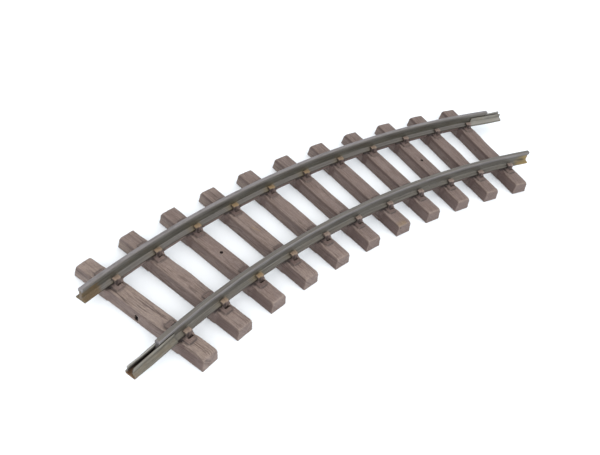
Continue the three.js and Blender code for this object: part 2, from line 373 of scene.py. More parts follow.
def palette(**colours):
    """Named colours, each given on the 0 to 255 scale of a picture."""
    return SimpleNamespace(**{name: srgb(*levels) for name, levels in colours.items()})


# ---------------- materials

PLASTIC_COLOURS = palette(
    dark_streak=(92, 78, 73), pale_streak=(124, 109, 102), grey_patch=(115, 103, 99), fibre=(146, 129, 113),
    groove=(52, 40, 37), wash=(66, 49, 46), pore=(70, 58, 54), dark_mottle=(88, 72, 68),
    pale_mottle=(142, 128, 120), dust=(158, 144, 130), tan=(124, 102, 66), soot=(34, 26, 25))
RAIL_COLOURS = palette(
    dark_streak=(64, 61, 55), pale_streak=(105, 102, 94), olive_cloud=(90, 84, 72), blotch=(60, 56, 50),
    scratch=(116, 114, 108), bare=(121, 117, 118), dull=(92, 88, 86), soot=(52, 47, 41),
    dark_rust=(72, 55, 36), pale_rust=(112, 93, 64), dark_ochre=(118, 100, 66), pale_ochre=(152, 134, 92),
    tan=(112, 98, 66))
JOINER_COLOURS = palette(
    dark_streak=(80, 76, 68), pale_streak=(110, 106, 97), brown_cloud=(100, 91, 76), bare=(162, 161, 156),
    soot=(40, 34, 30), dark_rust=(92, 64, 50), pale_rust=(124, 104, 80))
STEEL_COLOURS = palette(dark_ring=(138, 138, 140), pale_ring=(172, 172, 173), dirt=(94, 84, 74))
PAPER_COLOURS = palette(dark=(232, 237, 241), pale=(236, 241, 245))


def sleeper_material():
    """Mauve-brown moulded plastic with wood grain and paler ridges, and painted shade on its sides, round its
    fittings and in its hollows.
    """
    t = Tree("sleeper_plastic")
    paint = PLASTIC_COLOURS
    place = t.attribute("place", "Vector")
    streaks = t.noise(t.scaled(place, (2.4, 0.16, 2.4)), detail=5, roughness=0.62)
    fibres = t.noise(t.scaled(place, (7.5, 0.5, 7.5)), detail=3, roughness=0.6)
    patches = t.noise(t.scaled(place, (0.22, 0.07, 0.22)), detail=3)
    pores = t.speckle(t.scaled(place, (1.0, 0.35, 1.0)), 3.0)
    mottle = t.noise(place, scale=1.5, detail=4, roughness=0.7)
    colour = t.mix(t.between(streaks, 0.36, 0.66), paint.dark_streak, paint.pale_streak)
    colour = t.mix(t.between(patches, 0.4, 0.66, 0, 0.5), colour, paint.grey_patch)
    colour = t.mix(t.between(fibres, 0.5, 0.72, 0, 0.4), colour, paint.fibre)
    colour = t.mix(t.faded("groove", 0.85), colour, paint.groove)
    # Painted shade on the sides, ends, webs and clips, and dark wash on the tie plates.
    colour = t.mix(t.faded("wash", 0.75), colour, paint.wash)
    colour = t.mix(t.between(pores, 0.16, 0.05, 0, 0.35), colour, paint.pore)
    colour = t.mix(t.between(mottle, 0.42, 0.68, 0, 0.45), colour, paint.dark_mottle)
    colour = t.mix(t.between(mottle, 0.45, 0.25, 0, 0.35), colour, paint.pale_mottle)
    dust = t.faded("wear_and_paleness", t.between(fibres, 0.35, 0.6))
    colour = t.mix(t.math("MULTIPLY", dust, 0.45), colour, paint.dust)
    colour = t.mix(t.faded("tan", t.between(streaks, 0.36, 0.58, 0.45, 1.0)), colour, paint.tan)
    # Painted shade round the fittings, under the rails and in hollows.
    colour = t.mix(t.faded("soot", 0.92), colour, paint.soot)
    rough = t.between(fibres, 0.3, 0.7, 0.62, 0.84)
    normal = t.bump([(streaks, 0.5, 0.16), (fibres, 0.45, 0.07), (pores, 0.3, 0.04)])
    return t.finish(colour, rough, normal, Specular_IOR_Level=0.38)


def rail_material():
    """Drawn rail, dulled by a streaky dark olive patina, bare and greyer with a painted highlight on its
    running surface, and with painted shade under its head and along its foot.
    """
    t = Tree("rail_metal")
    paint = RAIL_COLOURS
    place = t.attribute("place", "Vector")
    drawn = t.noise(t.scaled(place, (0.035, 2.6, 2.6)), detail=5, roughness=0.65)
    clouds = t.noise(t.scaled(place, (0.11, 0.42, 0.42)), detail=4, roughness=0.6)
    scratch = t.noise(t.scaled(place, (0.16, 11.0, 11.0)), detail=3, roughness=0.7)
    grit = t.noise(place, scale=2.6, detail=4, roughness=0.7)
    blotches = t.noise(t.scaled(place, (0.3, 0.9, 0.9), (7, 3, 5)), detail=4, roughness=0.65)
    colour = t.mix(t.between(drawn, 0.36, 0.66), paint.dark_streak, paint.pale_streak)
    colour = t.mix(t.between(clouds, 0.42, 0.68, 0, 0.55), colour, paint.olive_cloud)
    colour = t.mix(t.between(blotches, 0.56, 0.7, 0, 0.5), colour, paint.blotch)
    colour = t.mix(t.between(scratch, 0.58, 0.75, 0, 0.4), colour, paint.scratch)
    # The head's pale grey is bare metal with a painted highlight.
    head = t.faded("head", t.between(drawn, 0.2, 0.5, 0.6, 1.0))
    colour = t.mix(head, colour, paint.bare)
    colour = t.mix(t.math("MULTIPLY", head, t.between(clouds, 0.45, 0.65, 0, 0.65)), colour, paint.dull)
    # Painted shade under the head and along the foot, and a stain's dark patch.
    colour = t.mix(t.faded("soot", t.between(grit, 0.3, 0.55, 0.5, 1.0)), colour, paint.soot)
    rust = t.faded("rust", t.between(clouds, 0.3, 0.52, 0.55, 1.0))
    brown = t.mix(t.between(grit, 0.4, 0.65), paint.dark_rust, paint.pale_rust)
    yellow = t.mix(grit, paint.dark_ochre, paint.pale_ochre)
    colour = t.mix(rust, colour, t.mix(t.attribute("ochre"), brown, yellow))
    tan = t.faded("tan", t.between(grit, 0.36, 0.56, 0.2, 1.0))
    colour = t.mix(t.math("MULTIPLY", tan, 0.7), colour, paint.tan)
    rough = t.math("ADD", t.between(drawn, 0.3, 0.7, 0.4, 0.58), t.math("MULTIPLY", rust, 0.2), clamp=True)
    normal = t.bump([(drawn, 0.3, 0.08), (scratch, 0.25, 0.03), (grit, 0.3, 0.04)])
    return t.finish(colour, rough, normal, Metallic=0.45, Specular_IOR_Level=0.3)


def joiner_material():
    """Folded sheet brass, gone brown and dull, with pale rubbed edges that carry a painted highlight, painted
    shade inside, and a rusty floor and free end.
    """
    t = Tree("joiner_metal")
    paint = JOINER_COLOURS
    place = t.attribute("place", "Vector")
    rolled = t.noise(t.scaled(place, (0.09, 2.2, 2.2)), detail=5, roughness=0.6)
    clouds = t.noise(t.scaled(place, (0.2, 0.5, 0.5)), detail=4, roughness=0.6)
    grit = t.noise(place, scale=2.4, detail=4, roughness=0.7)
    colour = t.mix(t.between(rolled, 0.36, 0.66), paint.dark_streak, paint.pale_streak)
    colour = t.mix(t.between(clouds, 0.42, 0.66, 0, 0.6), colour, paint.brown_cloud)
    # Pale lip edges: bare metal with a painted highlight.
    colour = t.mix(t.faded("head", 0.8), colour, paint.bare)
    # Painted shade inside the joiner and between its lips.
    colour = t.mix(t.faded("soot", t.between(grit, 0.3, 0.55, 0.6, 1.0)), colour, paint.soot)
    rust_colour = t.mix(t.between(grit, 0.4, 0.62), paint.dark_rust, paint.pale_rust)
    colour = t.mix(t.faded("rust", t.between(clouds, 0.34, 0.56, 0.5, 1.0)), colour, rust_colour)
    rough = t.between(grit, 0.3, 0.7, 0.4, 0.62)
    normal = t.bump([(rolled, 0.3, 0.07), (grit, 0.35, 0.05)])
    return t.finish(colour, rough, normal, Metallic=0.45, Specular_IOR_Level=0.3)


def screw_material():
    """Turned steel with fine rings from the lathe and a little dirt."""
    t = Tree("screw_steel")
    paint = STEEL_COLOURS
    place = t.attribute("place", "Vector")
    rings = t.noise(t.scaled(place, (14.0, 0.3, 6.0)), detail=3)
    grit = t.noise(place, scale=3.2, detail=4)
    colour = t.mix(t.between(rings, 0.35, 0.65), paint.dark_ring, paint.pale_ring)
    colour = t.mix(t.between(grit, 0.55, 0.72, 0, 0.5), colour, paint.dirt)
    rough = t.between(grit, 0.3, 0.7, 0.26, 0.48)
    return t.finish(colour, rough, t.bump([(rings, 0.25, 0.03), (grit, 0.2, 0.03)]), Metallic=1.0)


def floor_material():
    """Plain white paper with the faintest unevenness."""
    t = Tree("floor_paper")
    coordinates = t.nodes.new("ShaderNodeTexCoord").outputs["Object"]
    tooth = t.noise(coordinates, scale=40.0, detail=2)
    colour = t.mix(tooth, PAPER_COLOURS.dark, PAPER_COLOURS.pale)
    return t.finish(colour, 0.9, t.bump([(tooth, 0.05, 0.1)]), Specular_IOR_Level=0.1)


PLASTIC = sleeper_material()
RAIL = rail_material()
JOINER = joiner_material()
STEEL = screw_material()
PAPER = floor_material()

# ---------------- sleepers

REMESH_VOXEL = 0.36
SMOOTH_STEPS = 2
FILLET_STEPS = 30
GRAIN_LINE_SPACING = 1.25
GRAIN_DEPTH = 0.2
UNEVENNESS = 0.14
HEWN_DEPTH = 0.34
# Half the width of the blocks below the rails.
BLOCK_HALF_WIDTH = 6.1
# Where each rail's webs end in the sleeper's X, how much lower than the CAD's they hang, and how far they are
# run on into the next sleeper's blocks.
WEB_END = {"outer": 22.5, "inner": 20.3}
WEB_DROP = {"outer": 0.75, "inner": 0.5}
WEB_LAP = 0.4

# The tables down to RIDGE_PALENESS have one number for each sleeper, from the left.
# How strongly its grain is moulded.
GRAIN_STRENGTH = (1.0, 0.75, 0.45, 0.8, 0.6, 0.5, 0.45, 0.4, 0.4, 0.35, 0.35)
# How much tan its clips were dry-brushed with.
CLIP_TAN = {
    "outer": (0.35, 0.5, 0.8, 0.9, 0.95, 0.85, 0.6, 0.35, 0.12, 0.06, 0.05),
    "inner": (0.25, 0.45, 0.85, 0.45, 0.12, 0.1, 0.08, 0.05, 0.05, 0.05, 0.05),
}
# Darkening, mostly painted shade that grows towards the right where less light falls: on its tie plates,
# where it is partly a dark wash, on the upper part of its long sides, on the near ends of those sides, on the
# rest of them, on its end faces, and on its top.
PLATE_SHADE_AND_WASH = (0.25, 0.45, 0.85, 0.9, 0.8, 0.8, 0.7, 0.7, 0.6, 0.6, 0.5)
SIDE_SHADE = (0.4, 0.35, 0.75, 0.8, 0.8, 1.0, 0.9, 1.15, 1.1, 1.3, 1.35)
SIDE_NEAR = (0.75, 0.7, 0.83, 0.69, 0.64, 0.92, 0.85, 0.63, 0.72, 0.71, 0.86)
SIDE_BASE = (0.0, 0.0, 0.0, 0.0, 0.0, 0.1, 0.0, 0.15, 0.15, 0.25, 0.3)
END_SHADE = (0.0, 0.0, 0.05, 0.08, 0.1, 0.25, 0.25, 0.3, 0.38, 0.36, 0.38)
TOP_SHADE = (0.0, 0.0, 0.05, 0.0, 0.0, 0.05, 0.05, 0.08, 0.12, 0.16, 0.16)
# Paler colour: low on the far ends of its long sides, and on the ridges of its grain.
SIDE_LOW_PALENESS = (0.45, 0.75, 0.6, 0.6, 0.6, 0.6, 0.3, 0.1, 0.3, 0.2, 0.5)
RIDGE_PALENESS = (0.75, 0.3, 0.0, 0.3, 0.1, 0.0, 0.0, 0.0, 0.0, 0.0, 0.0)

HOLED = (3, 9)
HOLE_RADIUS = 0.9
SIDE_SLOTTED = (1, SLEEPER_COUNT)
SLOT_OFFSET = 0.2
SLOT_HALF_WIDTH = 1.0
SLOT_TOP = 4.4
# A scratch of tan paint on one sleeper's top, and a pit in the near end of another: x and z of its middle.
SCRATCHED, SCRATCH_FROM, SCRATCH_TO = 4, (-0.64, 3.9), (0.83, -1.1)
PITTED, PIT_AT, PIT_RADIUS, PIT_DEPTH = 7, (-3.6, 5.9), 0.75, 0.7
# The first sleeper's far corners are rubbed round.
RUBBED = 1


def remeshed(node, matrix):
    """A CAD node's mesh in its own frame, remeshed evenly so that its edges can be softened."""
    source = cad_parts[node].data.copy()
    source.transform(Matrix.Scale(1 / MM, 4) @ matrix.inverted())
    work = bmesh.new()
    work.from_mesh(source)
    bmesh.ops.remove_doubles(work, verts=work.verts, dist=1e-3)
    work.to_mesh(source)
    work.free()
    obj = add_object(node + "_remesh", source)
    modifier = obj.modifiers.new("voxels", "REMESH")
    modifier.mode = "VOXEL"
    modifier.voxel_size = REMESH_VOXEL
    modifier.use_smooth_shade = True
    bpy.context.view_layer.update()
    evaluated = obj.evaluated_get(bpy.context.evaluated_depsgraph_get())
    mesh = bpy.data.meshes.new_from_object(evaluated)
    bpy.data.objects.remove(obj)
    bpy.data.meshes.remove(source)
    mesh.name = node
    return mesh


def grain_grooves(u, y, noise, strength):
    """How deep the moulded grain is at a point, from 0 to 1. u runs across the grain and y along it."""
    bend = 2.6 * noise(u / 8.5, y / 34) + 0.8 * noise(u / 3.2 + 9, y / 12 + 4)
    line = 0.5 + 0.5 * np.cos(2 * math.pi * (u + bend) / GRAIN_LINE_SPACING)
    presence = ramp(noise(u / 1.9 + 3, y / 15 + 8), -0.35, 0.55)
    grooves = ramp(line, 0.6, 0.98) * presence
    cracks = ramp(noise(u * 1.5 + 20, y / 9 + 2), 0.45, 0.8)
    return np.clip(strength * (grooves + 0.7 * cracks), 0, 1)


def to_segment(x, y, start, end):
    """Each point's distance from a line between two points."""
    along = np.subtract(end, start)
    share = np.clip(((x - start[0]) * along[0] + (y - start[1]) * along[1]) / (along @ along), 0, 1)
    return np.hypot(x - start[0] - share * along[0], y - start[1] - share * along[1])


def from_rail(y):
    """How far a point of a sleeper is from the nearer rail's middle."""
    return np.abs(np.abs(y) - HALF_SPACING)


def of_rail(y, values):
    """For each point of a sleeper, the value for the rail that it is nearer to."""
    return np.where(y > 0, values["outer"], values["inner"])


def at_ends(y, start, full):
    """0 at one distance from a sleeper's ends and 1 at another."""
    return ramp(np.abs(y), SLEEPER_HALF_LENGTH - start, SLEEPER_HALF_LENGTH - full)


def at_sides(x, start, full):
    """0 at one distance from a sleeper's long sides and 1 at another."""
    return ramp(np.abs(x), SLEEPER_HALF_WIDTH - start, SLEEPER_HALF_WIDTH - full)


def in_pit(x, y, z, core):
    """Grows from 0 to 1 into the pit in a near end, and is 1 within this share of the pit's radius."""
    return ramp(np.hypot(x - PIT_AT[0], z - PIT_AT[1]), PIT_RADIUS, core * PIT_RADIUS) * (y < 0)


def round_edges(mesh, number):
    """Softens all edges, and more so where the blocks below the rails run into the long sides. Returns where
    that is, from 0 to 1."""
    co, edges, _ = mesh_arrays(mesh)
    relax(co, edges, SMOOTH_STEPS)
    x, y, z = co.T.copy()
    offset = from_rail(y)
    fillet = ramp(np.abs(x), 4.2, 4.9) * ramp(offset, 7.5, 5.5) * ramp(offset, 2, 3) * ramp(z, 0.5, 1.4)
    rubbed = (number == RUBBED) * ramp(y, 41.0, 43.2) * ramp(z, 4.0, 6.0) * 0.5
    relax(co, edges, FILLET_STEPS, (fillet + rubbed)[:, None])
    if number == PITTED:
        co[:, 1] += PIT_DEPTH * in_pit(x, y, z, 0.25)
    set_positions(mesh, co)
    return fillet


def survey(mesh, fillet):
    """What is known at each vertex of a rounded sleeper. x, y and z follow co while it is carved."""
    co, edges, normals = mesh_arrays(mesh)
    bend = np.einsum("ij,ij->i", neighbour_mean(co, edges) - co, normals)
    relax(bend, edges, 3)
    x, y, z = co.T
    offset = from_rail(y)
    up = normals[:, 2]
    near_plate = ramp(offset, PLATE_REACH + 0.9, PLATE_REACH - 0.1) * ramp(np.abs(x), 3.6, 2.7)
    above = ramp(z, PLATE_TOP + 0.1, PLATE_TOP + 0.5)
    outward = np.maximum.reduce([
        ramp(up, 0.0, 0.5) * ramp(z, 6.6, 7.2), at_sides(x, 1.35, 1.0), at_ends(y, 1.1, 0.8)])
    web = ramp(np.abs(x), BLOCK_HALF_WIDTH + 0.2, BLOCK_HALF_WIDTH + 0.7)
    fitting = np.maximum(near_plate * ramp(z, 6.8, 7.3), above)
    wooden = outward * (1 - fitting) * (1 - web) * ramp(up, -0.9, -0.6)
    return SimpleNamespace(
        co=co, normals=normals, bend=bend, x=x, y=y, z=z, offset=offset, up=up, near_plate=near_plate,
        above=above, outward=outward, web=web, wooden=wooden, fillet=fillet)


def hew(at, noise):
    """Makes the rounding of the top edges grow and shrink along the sleeper, as if hewn."""
    edge = at_sides(at.x, 2.2, 0.9) * ramp(at.z, 5.4, 7.3)
    end_edge = at_ends(at.y, 2.4, 0.9) * ramp(at.z, 5.4, 7.3)
    hewn = ramp(noise(np.sign(at.x) * 5 + 0.5, at.y / 13.0, 5.0), -0.35, 0.8) * HEWN_DEPTH
    clear_of_rail = ramp(at.offset, 4.2, 6.0)
    at.co[:, 0] -= np.sign(at.x) * edge * hewn * (1 - at.above) * (1 - at.web)
    at.co[:, 2] -= np.maximum(edge * hewn, 0.6 * end_edge * HEWN_DEPTH) * clear_of_rail
    at.co[:, 1] -= np.sign(at.y) * end_edge * HEWN_DEPTH * 0.6


def carve(at, noise, strength):
    """Cuts the moulded wood grain, inwards so that the sleeper never grows."""
    at.across = np.sign(at.x) * (np.abs(at.x) + np.maximum(SLEEPER_HEIGHT - at.z, 0))
    at.groove = grain_grooves(at.across, at.y, noise, strength) * at.wooden
    unevenness = (0.5 + 0.5 * noise(at.across / 3.5, at.y / 14, 9.0)) * UNEVENNESS * at.wooden
    at.co -= at.normals * (at.groove * GRAIN_DEPTH + unevenness)[:, None]


def fit_webs(co, at):
    """Lowers the webs and runs them into the next sleeper's blocks."""
    co[:, 2] -= of_rail(at.y, WEB_DROP) * at.web * ramp(at.z, 7.7, 7.0)
    web_end = of_rail(at.y, WEB_END)
    co[:, 0] += WEB_LAP * ramp(at.x, web_end - 1.2, web_end - 0.6)


def opening_shade(at, number):
    """Darkness in and around a sleeper's fixing hole or the slot in its side."""
    if number in HOLED:
        return ramp(np.hypot(at.x, at.y), HOLE_RADIUS + 0.5, HOLE_RADIUS + 0.1) * ramp(at.z, 7.7, 7.3)
    if number not in SIDE_SLOTTED:
        return np.zeros_like(at.z)
    beside = np.abs(at.y - SLOT_OFFSET)
    around = (ramp(beside, SLOT_HALF_WIDTH + 2.0, SLOT_HALF_WIDTH + 0.1)
              * ramp(at.z, SLOT_TOP + 1.6, SLOT_TOP) * ramp(at.outward, 0.9, 0.4))
    within = (ramp(beside, SLOT_HALF_WIDTH + 0.2, SLOT_HALF_WIDTH - 0.1)
              * ramp(at.z, SLOT_TOP + 0.2, SLOT_TOP - 0.1) * at_sides(at.x, 0.3, 0.8))
    return np.maximum(around, within)


def sleeper_painted_shade(at, number):
    """Painted shade, with some dark wash at the plates' step, round the tie plates and clips, under the
    rails, in hollows and in openings.
    """
    x, z, offset = at.x, at.z, at.offset
    plate_side = np.abs(offset - PLATE_REACH) + 9 * ramp(np.abs(x), PLATE_HALF_WIDTH, PLATE_HALF_WIDTH + 0.5)
    plate_end = np.abs(np.abs(x) - PLATE_HALF_WIDTH) + 9 * ramp(offset, PLATE_REACH, PLATE_REACH + 0.5)
    outline = ramp(np.minimum(plate_side, plate_end), 0.5, 0.12) * ramp(z, 6.9, 7.4) * (1 - at.above)
    beside_clip = ramp(np.abs(x - CLIP_MIDDLE), CLIP_HALF_WIDTH + 0.2, CLIP_HALF_WIDTH - 0.3)
    pit = (beside_clip * ramp(offset, CLIP_FACE - 0.1, CLIP_FACE + 0.15)
           * ramp(offset, CLIP_FACE + 1.8, CLIP_FACE + 1.3) * ramp(z, PLATE_TOP, PLATE_TOP - 0.3))
    clip_left = (beside_clip * ramp(x, CLIP_MIDDLE + 0.3, CLIP_MIDDLE - 0.5)
                 * ramp(z, PLATE_TOP - 0.4, PLATE_TOP - 0.1) * ramp(z, CLIP_TOP - 0.2, CLIP_TOP - 0.8)
                 * ramp(offset, CLIP_FACE + 0.5, CLIP_FACE + 0.2))
    near_side = at.y < np.sign(at.y) * HALF_SPACING
    beside_foot = (ramp(x, 0.0, -1.0) * ramp(x, -6.4, -4.6) * ramp(offset, 5.6, 4.2) * ramp(z, 6.2, 7.2)
                   * near_side)
    under_rail = ramp(offset, 3.9, 3.2) * ramp(z, 6.0, 7.5) * ramp(z, 9.9, 9.0) * (1 - at.web)
    # Darkening where the surface is hollow is painted shade.
    hollow = ramp(at.bend, 0.004, 0.03) * (1 - at.fillet)
    soot = (0.65 * outline + 0.3 * pit * (1 + near_side * (x < CLIP_MIDDLE)) + 0.85 * clip_left
            + 0.5 * beside_foot + 0.6 * under_rail)
    if number == PITTED:
        soot = soot + in_pit(at.x, at.y, at.z, 0.4) * at_ends(at.y, 3, 2)
    return np.clip(soot + opening_shade(at, number) + 0.8 * hollow * at.outward, 0, 1)


def sleeper_shade_and_wash(at, index):
    """Painted shade on the sides, ends, webs, clips' faces and fillets, mostly growing towards the right
    where less light falls, dark wash with painted shade on the tie plates, and a thin painted shade on the
    top.
    """
    z, offset = at.z, at.offset
    plate = (ramp(offset, PLATE_REACH + 0.1, PLATE_REACH - 0.5) * ramp(np.abs(at.x), 3.0, 2.5)
             * ramp(offset, 3.0, 3.6) * ramp(z, 7.3, 7.7) * (1 - at.above)) * PLATE_SHADE_AND_WASH[index]
    near = ramp(-at.y, 25, 30)
    side = at.sides * (np.maximum(SIDE_SHADE[index] * 0.75 * ramp(z, 4.6, 6.4), SIDE_NEAR[index] * near)
                       + SIDE_BASE[index] * (1 - near))
    fillet = 0.85 * at.fillet * SIDE_SHADE[index]
    end = END_SHADE[index] * at_ends(at.y, 1.4, 0.9)
    # The webs and the clips' faces are darkened with painted shade, as under the rail's foot.
    web = at.web * (0.3 + 0.08 * index)
    clip = 0.8 * ramp(z, PLATE_TOP, PLATE_TOP + 0.4) * ramp(at.up, 0.6, 0.3)
    return np.clip(np.maximum.reduce([plate, side, fillet, end, TOP_SHADE[index] * at.top, web, clip]), 0, 1)


def sleeper_wear_and_paleness(at, index):
    """Rubbed edges, and a paler colour on the grain's ridges and low on the long sides' far ends."""
    wear_and_paleness = ramp(-at.bend, 0.006, 0.03) * (0.4 + 0.6 * ramp(at.up, 0.1, 0.8)) * (1 - at.fillet)
    near_end = at_ends(at.y, 1.4, 0.9) * (at.y < 0)
    ridges = RIDGE_PALENESS[index] * np.maximum(at.top, 0.5 * near_end)
    low = SIDE_LOW_PALENESS[index] * at.sides * ramp(at.y, 22, 29) * ramp(at.z, 6.2, 4.8)
    return np.maximum(wear_and_paleness, np.maximum(ridges, low) * (1 - at.groove))


def sleeper_tan(at, number):
    """Tan paint on the clips' tops, and the stray marks of it on two sleepers."""
    strength = {name: amounts[number - 1] for name, amounts in CLIP_TAN.items()}
    tan = ramp(at.z, CLIP_TOP - 1.6, CLIP_TOP - 0.6) * ramp(at.up, 0.1, 0.7) * of_rail(at.y, strength)
    if number == SCRATCHED:
        scratch = ramp(to_segment(at.x, at.y, SCRATCH_FROM, SCRATCH_TO), 0.42, 0.12)
        tan = np.maximum(tan, 0.85 * at.top * scratch)
    if number == PITTED:
        tan = np.maximum(tan, 0.45 * at.top * ramp(-at.y, 38.5, 41.5) * ramp(at.x, 3.0, 0.5))
    return np.clip(tan, 0, 1)


def sleeper(number):
    index = number - 1
    node = f"sleeper_{number:02d}"
    matrix = placed(CURVE_RADIUS, (index - (SLEEPER_COUNT - 1) / 2) * SLEEPER_PITCH)
    noise = Noise(100 + number)
    mesh = remeshed(node, matrix)
    unrounded = mesh_arrays(mesh)[0]
    at = survey(mesh, round_edges(mesh, number))
    hew(at, noise)
    carve(at, noise, GRAIN_STRENGTH[index])
    co = np.clip(at.co, unrounded.min(0), unrounded.max(0))
    fit_webs(co, at)
    set_positions(mesh, co)
    at.sides = ramp(np.abs(at.normals[:, 0]), 0.55, 0.9)
    at.top = ramp(at.up, 0.5, 0.9) * ramp(at.z, 6.6, 7.2) * (1 - at.above) * (1 - at.near_plate)
    store(mesh, "groove", at.groove)
    store(mesh, "soot", sleeper_painted_shade(at, number))
    store(mesh, "wear_and_paleness", sleeper_wear_and_paleness(at, index))
    store(mesh, "tan", sleeper_tan(at, number))
    store(mesh, "wash", sleeper_shade_and_wash(at, index))
    # Far enough apart that no two sleepers have the same grain and stains.
    store(mesh, "place", np.stack([at.across + 40 * number, at.y, at.z], 1))
    mesh.transform(matrix @ Matrix.Scale(MM, 4))
    return show(node + "_moulding", mesh, PLASTIC, "track", [node])


for number in range(1, SLEEPER_COUNT + 1):
    sleeper(number)

# ---------------- rails

RAIL_STEP = 0.8
# Half of the outline, from the foot's edge to the head's top: its corners, and how round each is.
RAIL_CORNERS = [
    ((FOOT_HALF_WIDTH, 0.0), 0.22), ((FOOT_HALF_WIDTH, 0.8), 0.28), ((0.75, 1.68), 0.75), ((0.75, 6.0), 0.6),
    ((HEAD_HALF_WIDTH, 6.4), 0.22), ((HEAD_HALF_WIDTH, RAIL_HEIGHT), 0.7),
]
# The stain near each rail's plain end: which end that is, how far the stain reaches, how strong and how
# yellow it is.
STAINS = {
    "outer": SimpleNamespace(end=-1, reach=12.0, strength=0.8, ochre=0.1),
    "inner": SimpleNamespace(end=1, reach=10.0, strength=1.0, ochre=0.9),
}
# How much of the running surface's pale grey, bare metal with a painted highlight, shows on each part of the
# rail.
TOP_BARE_AND_HIGHLIGHT = {"outer": 0.92, "inner": 0.2}
HEAD_SIDE_PALENESS = {"outer": 0.27, "inner": 0.7}
WEB_PALENESS = {"outer": 0.0, "inner": 0.12}
# On the foot's upper slope the pale grey is a painted highlight.
FOOT_HIGHLIGHT = {"outer": 0.3, "inner": 0.0}


def mirrored(corners):
    return corners + [((-y, z), radius) for (y, z), radius in reversed(corners)]


def rail_outline():
    corners = mirrored(RAIL_CORNERS)
    outline = rounded([point for point, _ in corners], [radius for _, radius in corners])
    return densified(outline, 0.6)


def clip_smear(at, side_name, radius):
    """Tan paint dragged onto the rail beside each dry-brushed clip, further along the foot to its left."""
    smear = np.zeros_like(at.s)
    low = ramp(at.z, 2.4, 1.4)
    for index, amount in enumerate(CLIP_TAN[side_name]):
        middle = (index - (SLEEPER_COUNT - 1) / 2) * SLEEPER_PITCH * radius + CLIP_MIDDLE
        beside = ramp(np.abs(at.s - middle), 4.6, 2.2)
        dragged = 0.7 * ramp(middle - at.s, 8.5, 3.0) * ramp(at.s - middle, 2.0, 1.0) * low
        smear = np.maximum(smear, amount * np.maximum(beside, dragged))
    return smear * ramp(at.z, 4.4, 2.0) * ramp(np.abs(at.y), 0.5, 0.9)


def rail_stain(at, stain, radius, noise):
    """The stain near a plain end, and the dark patch in a yellow one, which climbs only close to the end."""
    ragged = 2.6 * noise(at.s / 5, at.p / 1.6) + 1.2 * noise(at.s / 1.7, at.p / 0.7)
    from_end = HALF_ANGLE * radius - stain.end * at.s
    climb = 1.6 * stain.ochre * np.maximum(at.z - 2.2, 0)
    from_patch = np.hypot((from_end - 5.5) / 3.6, (at.z - 2.6) / 1.2)
    patch = stain.ochre * ramp(from_patch + 0.1 * ragged, 1.3, 0.7)
    spread = ramp(from_end + 0.7 * ragged + climb, stain.reach + 4 * stain.ochre, stain.reach - 4.0)
    below_head = ramp(at.z, 6.6, 5.8)
    return stain.strength * spread * below_head * (1 - 0.85 * patch), patch


def rail_paleness(at, side_name, from_cut):
    """Pale grey: bare metal with a painted highlight on the running surface, paler on the head's sides and
    the web, a painted highlight on the foot's upper slope, and bare metal at the cut ends.
    """
    on_top = ramp(at.z, 8.2, 8.38)
    above_web = ramp(at.z, 6.3, 6.7)
    return np.maximum.reduce([
        TOP_BARE_AND_HIGHLIGHT[side_name] * on_top,
        HEAD_SIDE_PALENESS[side_name] * above_web * (1 - on_top),
        WEB_PALENESS[side_name] * (1 - above_web),
        FOOT_HIGHLIGHT[side_name] * ramp(at.z, 2.0, 1.6) * ramp(at.z, 0.7, 0.9),
        ramp(from_cut, 0.4, 0.1) * ramp(at.z, 1, 2),
    ])


def rail_shade_and_stain(at, patch):
    """Painted shade under the head and along the foot's edges, and a stain's dark patch."""
    under_head = ramp(np.abs(at.y), 1.6, 0.9) * ramp(at.z, 6.8, 6.1) * ramp(at.z, 4.6, 6.0)
    foot_edge = ramp(np.abs(at.y), FOOT_HALF_WIDTH - 0.25, FOOT_HALF_WIDTH - 0.05) * ramp(at.z, 0.9, 0.65)
    return np.maximum.reduce([0.35 * under_head, 0.6 * foot_edge, 0.9 * patch])


def rail(side_name):
    side = SIDES[side_name]
    radius = CURVE_RADIUS + side * HALF_SPACING
    outline = rail_outline()
    # The rail stops short at the end that carries its joiner.
    first = -HALF_ANGLE + (side < 0) * EXPANSION_GAP / radius
    last = HALF_ANGLE - (side > 0) * EXPANSION_GAP / radius
    angles = np.linspace(first, last, math.ceil((last - first) * radius / RAIL_STEP) + 1)
    sections = []
    for angle in angles:
        reach = radius + outline[:, 0]
        sections.append(np.stack([
            CENTRE_X + reach * math.sin(angle),
            CENTRE_Y + reach * math.cos(angle),
            RAIL_BASE + outline[:, 1],
        ], 1))
    vertices, faces = lofted(sections)
    mesh = new_mesh(f"{side_name}_rail", vertices * MM, faces)
    # s runs along the rail, y across it, z up from its base and p round its outline.
    perimeter = np.concatenate([[0], np.cumsum(np.linalg.norm(np.diff(outline, axis=0), axis=1))])
    at = SimpleNamespace(
        s=np.repeat(angles * radius, len(outline)), y=np.tile(outline[:, 0], len(angles)),
        z=np.tile(outline[:, 1], len(angles)), p=np.tile(perimeter, len(angles)))
    stain = STAINS[side_name]
    rust, patch = rail_stain(at, stain, radius, Noise(300 + side))
    store(mesh, "rust", rust)
    store(mesh, "ochre", np.full_like(at.s, stain.ochre))
    store(mesh, "tan", clip_smear(at, side_name, radius))
    store(mesh, "head", rail_paleness(at, side_name, np.minimum(at.s - first * radius, last * radius - at.s)))
    store(mesh, "soot", rail_shade_and_stain(at, patch))
    store(mesh, "place", np.stack([at.s, at.p, np.full_like(at.s, 60.0 * side)], 1))
    return show(f"{side_name}_rail_drawn", cleaned(mesh), RAIL, "track", [f"{side_name}_rail"])


for name in SIDES:
    rail(name)

# ---------------- joiners

JOINER_STEP = 0.5
